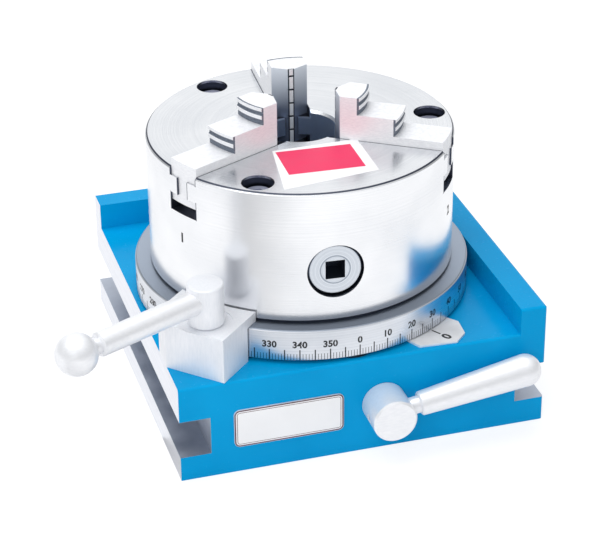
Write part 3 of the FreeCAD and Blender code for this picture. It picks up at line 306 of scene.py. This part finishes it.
def milled_steel(name, dark, light, roughness, along, depth, metallic):
    """Steel with straight tool marks that are drawn out along the small factors of 'along'."""
    made = Finish(name, light, metallic, roughness)
    strokes = made.vector(*[made.times(axis, 900.0 * share) for axis, share in zip(made.axes(), along)])
    marks = made.noise(strokes, 1.0, 4.0, 0.6)
    both = made.grain(marks, made.noise(made.place, 45.0, 3.0))
    made.colour(made.blend(made.spread(both, 0.35, 0.65), dark, light))
    made.roughness(made.spread(both, 0.35, 0.65, roughness * 1.25, roughness * 0.8))
    made.bump(marks, depth * MM)
    return made.material


def jaw_steel():
    """Ground jaw steel, with painted shade on the nose and in the riser grooves, and a painted highlight
    along the nose's ridge.
    """
    made = Finish("jaw_steel", (0.85, 0.86, 0.88), 0.3, 0.5)
    x, y, z = made.axes()
    radius = made.radius()
    face, top = high("chuck_body").z, high("jaw_1").z
    strokes = made.vector(made.times(x, 500.0), made.times(y, 500.0), made.times(z, 2500.0))
    marks = made.noise(strokes, 1.0, 3.0, 0.6)
    streaks = made.spread(marks, 0.35, 0.65)
    bright = made.blend(streaks, (0.80, 0.81, 0.84), (0.90, 0.905, 0.925))
    dark = made.blend(streaks, (0.10, 0.12, 0.16), (0.19, 0.22, 0.27))
    nose = made.times(made.within(radius, 19.0 * MM, 26.2 * MM), made.below(z, top - 0.05 * MM))
    grooves = []
    # Painted shade in a groove by each riser: each riser's radius and the height of the tread at its foot
    # over the chuck's face.
    for riser, tread in ((36.0, 14.0), (54.8, 4.5)):
        band = made.within(radius, (riser - 1.4) * MM, (riser - 0.3) * MM)
        ledge = made.within(z, face + tread * MM, face + (tread + 9.4) * MM)
        grooves.append(made.times(band, ledge))
    along, across = made.along_across(CHUCK_TURN)
    narrow = made.below(across, 1.7 * MM)
    ridge = made.times(narrow, made.below(along, 19.3 * MM))
    notch = made.times(narrow, made.within(along, 19.35 * MM, 20.2 * MM))
    # The nose is painted darker towards the chuck's face as shade, with a painted highlight along its ridge
    # and painted shade on the notch past it.
    painted_shading = made.blend(made.spread(z, face, top), (0.14, 0.17, 0.24), (0.74, 0.80, 0.87))
    painted_shading = made.blend(ridge, painted_shading, (0.86, 0.88, 0.90))
    steel = made.blend(nose, made.blend(made.most(*grooves), bright, dark), painted_shading)
    made.colour(made.blend(notch, steel, (0.03, 0.035, 0.05)))
    made.roughness(made.weigh(nose, 0.5, 0.36))
    made.bump(marks, 0.006 * MM)
    return made.material


def key_steel():
    """Key pinion steel: rings turned round its own axis, painted shade in the socket and a painted dark ring
    at the countersink's rim.
    """
    made = Finish("key_pinion_steel", (0.55, 0.58, 0.63), 0.9, 0.36)
    along, across = made.along_across(CHUCK_TURN + 180)
    _, _, z = made.axes()
    socket_floor = 77.6 * MM
    reach = made.length(across, made.calc("SUBTRACT", z, PINION_LEVEL))
    rings = made.noise(made.vector(made.times(reach, 2200.0), 0.0, 0.0), 1.0, 3.0, 0.6)
    bright = made.blend(made.spread(rings, 0.35, 0.65), (0.50, 0.54, 0.60), (0.76, 0.80, 0.85))
    # Painted shade: a dark ring at the countersink's rim, and near black inside the socket.
    bright = made.blend(made.within(reach, 7.3 * MM, 7.9 * MM), bright, (0.30, 0.34, 0.40))
    made.colour(made.blend(made.above(along, socket_floor), (0.09, 0.11, 0.15), bright))
    made.roughness(made.spread(rings, 0.35, 0.65, 0.42, 0.3))
    made.bump(rings, 0.012 * MM)
    return made.material


def plain_finish(name, colour, metallic, roughness, swing=0.12):
    """An even finish with a slight mottle, for small pieces."""
    made = Finish(name, colour, metallic, roughness)
    cloud = made.noise(made.place, 60.0, 4.0)
    darker = tuple(part * (1.0 - swing) for part in colour)
    lighter = tuple(min(1.0, part * (1.0 + swing)) for part in colour)
    made.colour(made.blend(made.spread(cloud, 0.3, 0.7), darker, lighter))
    made.roughness(made.spread(cloud, 0.3, 0.7, roughness * 0.85, roughness * 1.15))
    made.bump(made.noise(made.place, 900.0, 3.0), 0.01 * MM)
    return made.material


FINISHES = {
    "paint": painted_casting(),
    "chuck": turned_steel("ground_chuck_steel", (0.74, 0.755, 0.785), (0.92, 0.925, 0.94), 0.24, 2600.0,
                          inside_chuck),
    "flange": turned_steel("satin_flange_steel", (0.54, 0.57, 0.62), (0.78, 0.80, 0.84), 0.32, 1800.0,
                           flange_shoulder),
    "block": milled_steel("milled_block_steel", (0.82, 0.84, 0.88), (0.90, 0.91, 0.94), 0.5,
                          (1, 1, 0.2), 0.006, 0.35),
    "lever": milled_steel("bright_lever_steel", (0.82, 0.83, 0.86), (0.90, 0.905, 0.925), 0.36,
                          (0.3, 1, 1), 0.002, 0.4),
    "jaw": jaw_steel(),
    "key": key_steel(),
    "screw": plain_finish("black_screw_steel", (0.42, 0.44, 0.56), 0.7, 0.4),
    "inner": plain_finish("oiled_inner_steel", (0.40, 0.42, 0.46), 1.0, 0.35),
    "bronze": plain_finish("bush_bronze", (0.60, 0.42, 0.20), 1.0, 0.35),
    "plate": plain_finish("plate_aluminium", (0.80, 0.81, 0.83), 0.3, 0.4),
    "ink": plain_finish("black_mark_ink", (0.012, 0.013, 0.016), 0.0, 0.5, swing=0.3),
    "border": plain_finish("plate_border_ink", (0.10, 0.03, 0.05), 0.0, 0.4, swing=0.2),
    "white": plain_finish("white_label_film", (0.88, 0.88, 0.89), 0.0, 0.4, swing=0.02),
    "red": plain_finish("red_label_ink", (0.78, 0.012, 0.10), 0.0, 0.4, swing=0.05),
}

WEARS = {
    "paint": ("base_casting",),
    "chuck": ("chuck_body",),
    "flange": ("index_spindle",),
    "block": ("clamp_block", "clamp_post"),
    "lever": ("clamp_rod", "clamp_ball", "lever_hub", "lever_handle", "handle_stud"),
    "jaw": ("jaw_1", "jaw_2", "jaw_3"),
    "key": ("pinion_1", "pinion_2", "pinion_3"),
    "screw": ("chuck_screws", "cover_screws", "hub_set_screw", "pinion_pins"),
    "inner": ("scroll_plate", "chuck_cover", "spindle_nut", "clamp_stud", "lever_shaft", "index_plunger",
              "plunger_spring", "spring_plug", "thrust_washer", "plunger_bush"),
    "bronze": ("spindle_bush", "lever_bush"),
    "plate": ("name_plate", "zero_plate"),
}


def dress_nodes():
    for finish, names in WEARS.items():
        for name in names:
            NODES[name].data.materials.clear()
            NODES[name].data.materials.append(FINISHES[finish])


# -------------------------------------------------------------- added pieces

def mesh_from(shape, name):
    """Turns a mesh in the making into a finished one and frees it."""
    made = bpy.data.meshes.new(name)
    shape.normal_update()
    shape.to_mesh(made)
    shape.free()
    return made


def piece(name, shape, finish, body):
    """Puts a finished shape in the scene on its body."""
    mesh = mesh_from(shape, name)
    made = bpy.data.objects.new(name, mesh)
    bpy.context.scene.collection.objects.link(made)
    mesh.materials.append(FINISHES[finish])
    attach(made, body)


def carry(source, target):
    """Adds one mesh in the making to another and frees it."""
    held = bpy.data.meshes.new("held")
    source.to_mesh(held)
    source.free()
    target.from_mesh(held)
    bpy.data.meshes.remove(held)


def slab(corners, thickness):
    """A flat plate on the given outline, raised along +Z."""
    shape = bmesh.new()
    face = shape.faces.new([shape.verts.new((across, up, 0.0)) for across, up in corners])
    raised = bmesh.ops.extrude_face_region(shape, geom=[face])
    top = [part for part in raised["geom"] if isinstance(part, bmesh.types.BMVert)]
    bmesh.ops.translate(shape, vec=(0, 0, thickness), verts=top)
    bmesh.ops.recalc_face_normals(shape, faces=shape.faces)
    return shape


def figures(words, height):
    """Figures as thick as a mark, centred on the origin and standing on XY."""
    curve = bpy.data.curves.new(words, "FONT")
    curve.body = words
    curve.align_x = "CENTER"
    curve.align_y = "CENTER"
    curve.size = height / 0.70
    curve.extrude = MARK_SKIN / 2
    curve.offset = height * 0.055
    curve.resolution_u = 3
    holder = bpy.data.objects.new(words, curve)
    bpy.context.scene.collection.objects.link(holder)
    bpy.context.view_layer.update()
    made = bpy.data.meshes.new_from_object(holder)
    bpy.data.objects.remove(holder)
    bpy.data.curves.remove(curve)
    shape = bmesh.new()
    shape.from_mesh(made)
    bpy.data.meshes.remove(made)
    bmesh.ops.translate(shape, vec=(0, 0, MARK_SKIN / 2), verts=shape.verts)
    return shape


def wrap(shape, radius, angle, level):
    """Bends a flat mark, drawn in XY, on to a cylinder about Z at an angle and height."""
    for vert in shape.verts:
        turn = math.radians(angle) + vert.co.x / radius
        reach = radius + vert.co.z
        vert.co = Vector((reach * math.cos(turn), reach * math.sin(turn), level + vert.co.y))


def spin(shape, angle):
    """Turns a shape about Z by an angle in degrees."""
    matrix = Matrix.Rotation(math.radians(angle), 3, "Z")
    bmesh.ops.rotate(shape, cent=(0, 0, 0), matrix=matrix, verts=shape.verts)


def degree_marks():
    """Lines for every degree and figures for every tenth, sunk flush in the flange's rim."""
    shape = bmesh.new()
    radius = high("index_spindle").x - MARK_SINK
    rim_foot = low("index_spindle").z + 52.0 * MM
    short_tick, long_tick = (3.4 * MM, 0.13 * MM), (5.8 * MM, 0.3 * MM)
    for degree in range(360):
        length, half = short_tick if degree % 5 else long_tick
        tick = slab([(-half, 0), (half, 0), (half, length), (-half, length)], MARK_SKIN)
        wrap(tick, radius, PLUNGER_ANGLE + degree, rim_foot + 0.8 * MM)
        carry(tick, shape)
    for degree in range(0, 360, 10):
        figure = figures(str(degree), 3.5 * MM)
        wrap(figure, radius, PLUNGER_ANGLE + degree, rim_foot + 9.4 * MM)
        carry(figure, shape)
    piece("flange_degree_marks", shape, "ink", "spindle")


def chuck_numbers():
    """The jaw numbers stamped on the chuck's side below the guides."""
    shape = bmesh.new()
    radius = high("chuck_body").x - MARK_SINK
    level, beside = 107.2 * MM, 0.9
    for number in range(1, JAWS + 1):
        figure = figures(str(number), 5.0 * MM)
        wrap(figure, radius, (CHUCK_TURN + number * 360 / JAWS) % 360 - beside, level)
        carry(figure, shape)
    piece("chuck_jaw_numbers", shape, "ink", "spindle")


def zero_mark():
    """The zero line and its figure on the zero plate."""
    shape = bmesh.new()
    start, end, half = 88.6 * MM, 94.0 * MM, 0.45 * MM
    figure_reach = 98.3 * MM
    carry(slab([(start, -half), (end, -half), (end, half), (start, half)], MARK_SKIN), shape)
    figure = figures("0", 5.2 * MM)
    spin(figure, 90)
    bmesh.ops.translate(figure, vec=(figure_reach, 0, 0), verts=figure.verts)
    carry(figure, shape)
    spin(shape, ZERO_ANGLE)
    bmesh.ops.translate(shape, vec=(0, 0, high("zero_plate").z), verts=shape.verts)
    piece("zero_line_mark", shape, "ink", "base")


# Each layer's name and finish, its height over the chuck's face, its thickness and its corners.
LABEL_LAYERS = (
    ("face_label", "white", 0.0, 0.06, ((-28.5, -69.3), (22.6, -62.0), (23.0, -24.6), (-22.1, -25.4))),
    ("face_label_panel", "red", 0.05, 0.05, ((-21.7, -54.3), (17.6, -56.2), (17.9, -29.4), (-21.0, -27.5))),
)


def face_label():
    """Plain label on the chuck's face: white film with a plain red panel."""
    level = high("chuck_body").z
    for name, finish, lift, thickness, corners in LABEL_LAYERS:
        shape = slab([(x * MM, y * MM) for x, y in corners], thickness * MM)
        bmesh.ops.translate(shape, vec=(0, 0, level + lift * MM), verts=shape.verts)
        piece(name, shape, finish, "spindle")


# Each layer's name and finish, its distance inside the one below all, and its thickness.
PLATE_LAYERS = (
    ("plate_border", "border", 0.0, 0.03),
    ("plate_rim_light", "white", 0.7, 0.05),
    ("plate_line", "border", 1.3, 0.07),
    ("plate_field", "white", 1.6, 0.09),
)


def rounded(wide, tall, corner):
    """Outline of a rectangle about the origin with round corners."""
    steps = 6
    spots = []
    for quarter, (right, up) in enumerate(((1, 1), (-1, 1), (-1, -1), (1, -1))):
        for step in range(steps + 1):
            turn = math.radians(90 * (quarter + step / steps))
            spots.append((right * (wide / 2 - corner) + corner * math.cos(turn),
                          up * (tall / 2 - corner) + corner * math.sin(turn)))
    return spots


def plate_border():
    """Border and blank field printed on the plate on the front face."""
    near, far = low("name_plate"), high("name_plate")
    middle = Matrix.Translation(((near.x + far.x) / 2, near.y, (near.z + far.z) / 2))
    turn = middle @ Matrix.Rotation(math.radians(90), 4, "X")
    margin, plate_corner, least_corner = 0.15 * MM, 3.0 * MM, 0.6 * MM
    for name, finish, edge, skin in PLATE_LAYERS:
        inset = edge * MM + margin
        wide, tall = far.x - near.x - 2 * inset, far.z - near.z - 2 * inset
        shape = slab(rounded(wide, tall, max(least_corner, plate_corner - inset)), skin * MM)
        bmesh.ops.transform(shape, matrix=turn, verts=shape.verts)
        piece(name, shape, finish, "base")


# ------------------------------------------------------- studio and camera

TOWARDS_BACK = Vector((0.247, 0.843, 0.478)).normalized()
DIFFUSE_LEVEL = 0.62
FLOOR_GLOW = 1.28
FLOOR_GLOW_SHARE = 0.6
GREY_FROM, GREY_TO, GREY_DEPTH = -152.0, -108.0, 0.72


def surroundings():
    """White surroundings, mirrored brighter from behind and above than from the front."""
    world = bpy.data.worlds.new("studio_world")
    bpy.context.scene.world = world
    world.use_nodes = True
    made = Nodes(world.node_tree)
    back = made.tree.nodes["Background"]
    path = made.add("ShaderNodeLightPath")
    place = made.add("ShaderNodeTexCoord").outputs["Generated"]
    facing = made.add("ShaderNodeVectorMath", operation="DOT_PRODUCT")
    made.fed(facing, place, TOWARDS_BACK)
    from_back = made.ramp(facing.outputs["Value"], 3.2, -1.9)
    from_top = made.ramp(made.split(place)[2], 2.2, -0.95)
    mirrored = made.ramp(made.most(from_back, from_top), 0.62, 0.38)
    glossy = made.most(path.outputs["Is Glossy Ray"], path.outputs["Is Transmission Ray"])
    level = made.calc("ADD", made.times(glossy, mirrored),
                      made.times(made.calc("SUBTRACT", 1.0, glossy), DIFFUSE_LEVEL))
    made.link(made.most(level, path.outputs["Is Camera Ray"]), back.inputs["Strength"])
    back.inputs["Color"].default_value = (0.97, 0.985, 1.0, 1)


def pale_floor():
    """A pale floor that keeps the shadow, with a sector that shows greyer in mirrored steel."""
    shape = bmesh.new()
    bmesh.ops.create_grid(shape, x_segments=1, y_segments=1, size=6.0)
    floor = bpy.data.objects.new("studio_floor", mesh_from(shape, "studio_floor"))
    bpy.context.scene.collection.objects.link(floor)
    made = Finish("pale_floor", (0.80, 0.80, 0.81), 0.0, 0.9)
    path = made.add("ShaderNodeLightPath")
    x, y, _ = made.axes()
    turn = made.times(made.calc("ARCTAN2", y, x), 180 / math.pi)
    grey = made.times(made.within(turn, GREY_FROM, GREY_TO), made.spread(turn, GREY_TO, GREY_FROM))
    greyed = made.times(grey, GREY_DEPTH, path.outputs["Is Glossy Ray"])
    glow = made.add("ShaderNodeEmission")
    made.link(made.times(made.calc("SUBTRACT", 1.0, greyed), FLOOR_GLOW), glow.inputs["Strength"])
    seen = made.most(path.outputs["Is Camera Ray"], path.outputs["Is Glossy Ray"])
    mixed = made.fed(made.add("ShaderNodeMixShader"), made.times(seen, FLOOR_GLOW_SHARE),
                     made.shader.outputs[0], glow.outputs[0])
    made.link(mixed, made.tree.nodes["Material Output"].inputs["Surface"])
    floor.data.materials.append(made.material)


def lamp(name, place, size, power, mirrored):
    """A soft square lamp that faces the middle of the base."""
    data = bpy.data.lights.new(name, "AREA")
    data.shape = "RECTANGLE"
    data.size = size
    data.size_y = size
    data.energy = power
    held = bpy.data.objects.new(name, data)
    held.location = place
    held.rotation_euler = (Vector((0, 0, 0.05)) - Vector(place)).to_track_quat("-Z", "Y").to_euler()
    held.visible_glossy = mirrored
    bpy.context.scene.collection.objects.link(held)


def camera():
    data = bpy.data.cameras.new("camera")
    data.lens = 128.065
    data.sensor_width = 36.0
    data.clip_end = 20.0
    held = bpy.data.objects.new("camera", data)
    held.location = (-0.28299, -0.96441, 0.60792)
    held.rotation_euler = Euler([math.radians(angle) for angle in (61.4403, 0.5355, -16.6084)])
    bpy.context.scene.collection.objects.link(held)
    bpy.context.scene.camera = held


dress_nodes()
degree_marks()
chuck_numbers()
zero_mark()
face_label()
plate_border()
surroundings()
pale_floor()
lamp("top_softbox", (-0.25, 0.1, 1.6), 1.3, 14, True)
lamp("front_softbox", (-0.8, -1.3, 0.9), 0.9, 9, False)
camera()
bpy.context.scene.view_settings.view_transform = "Standard"
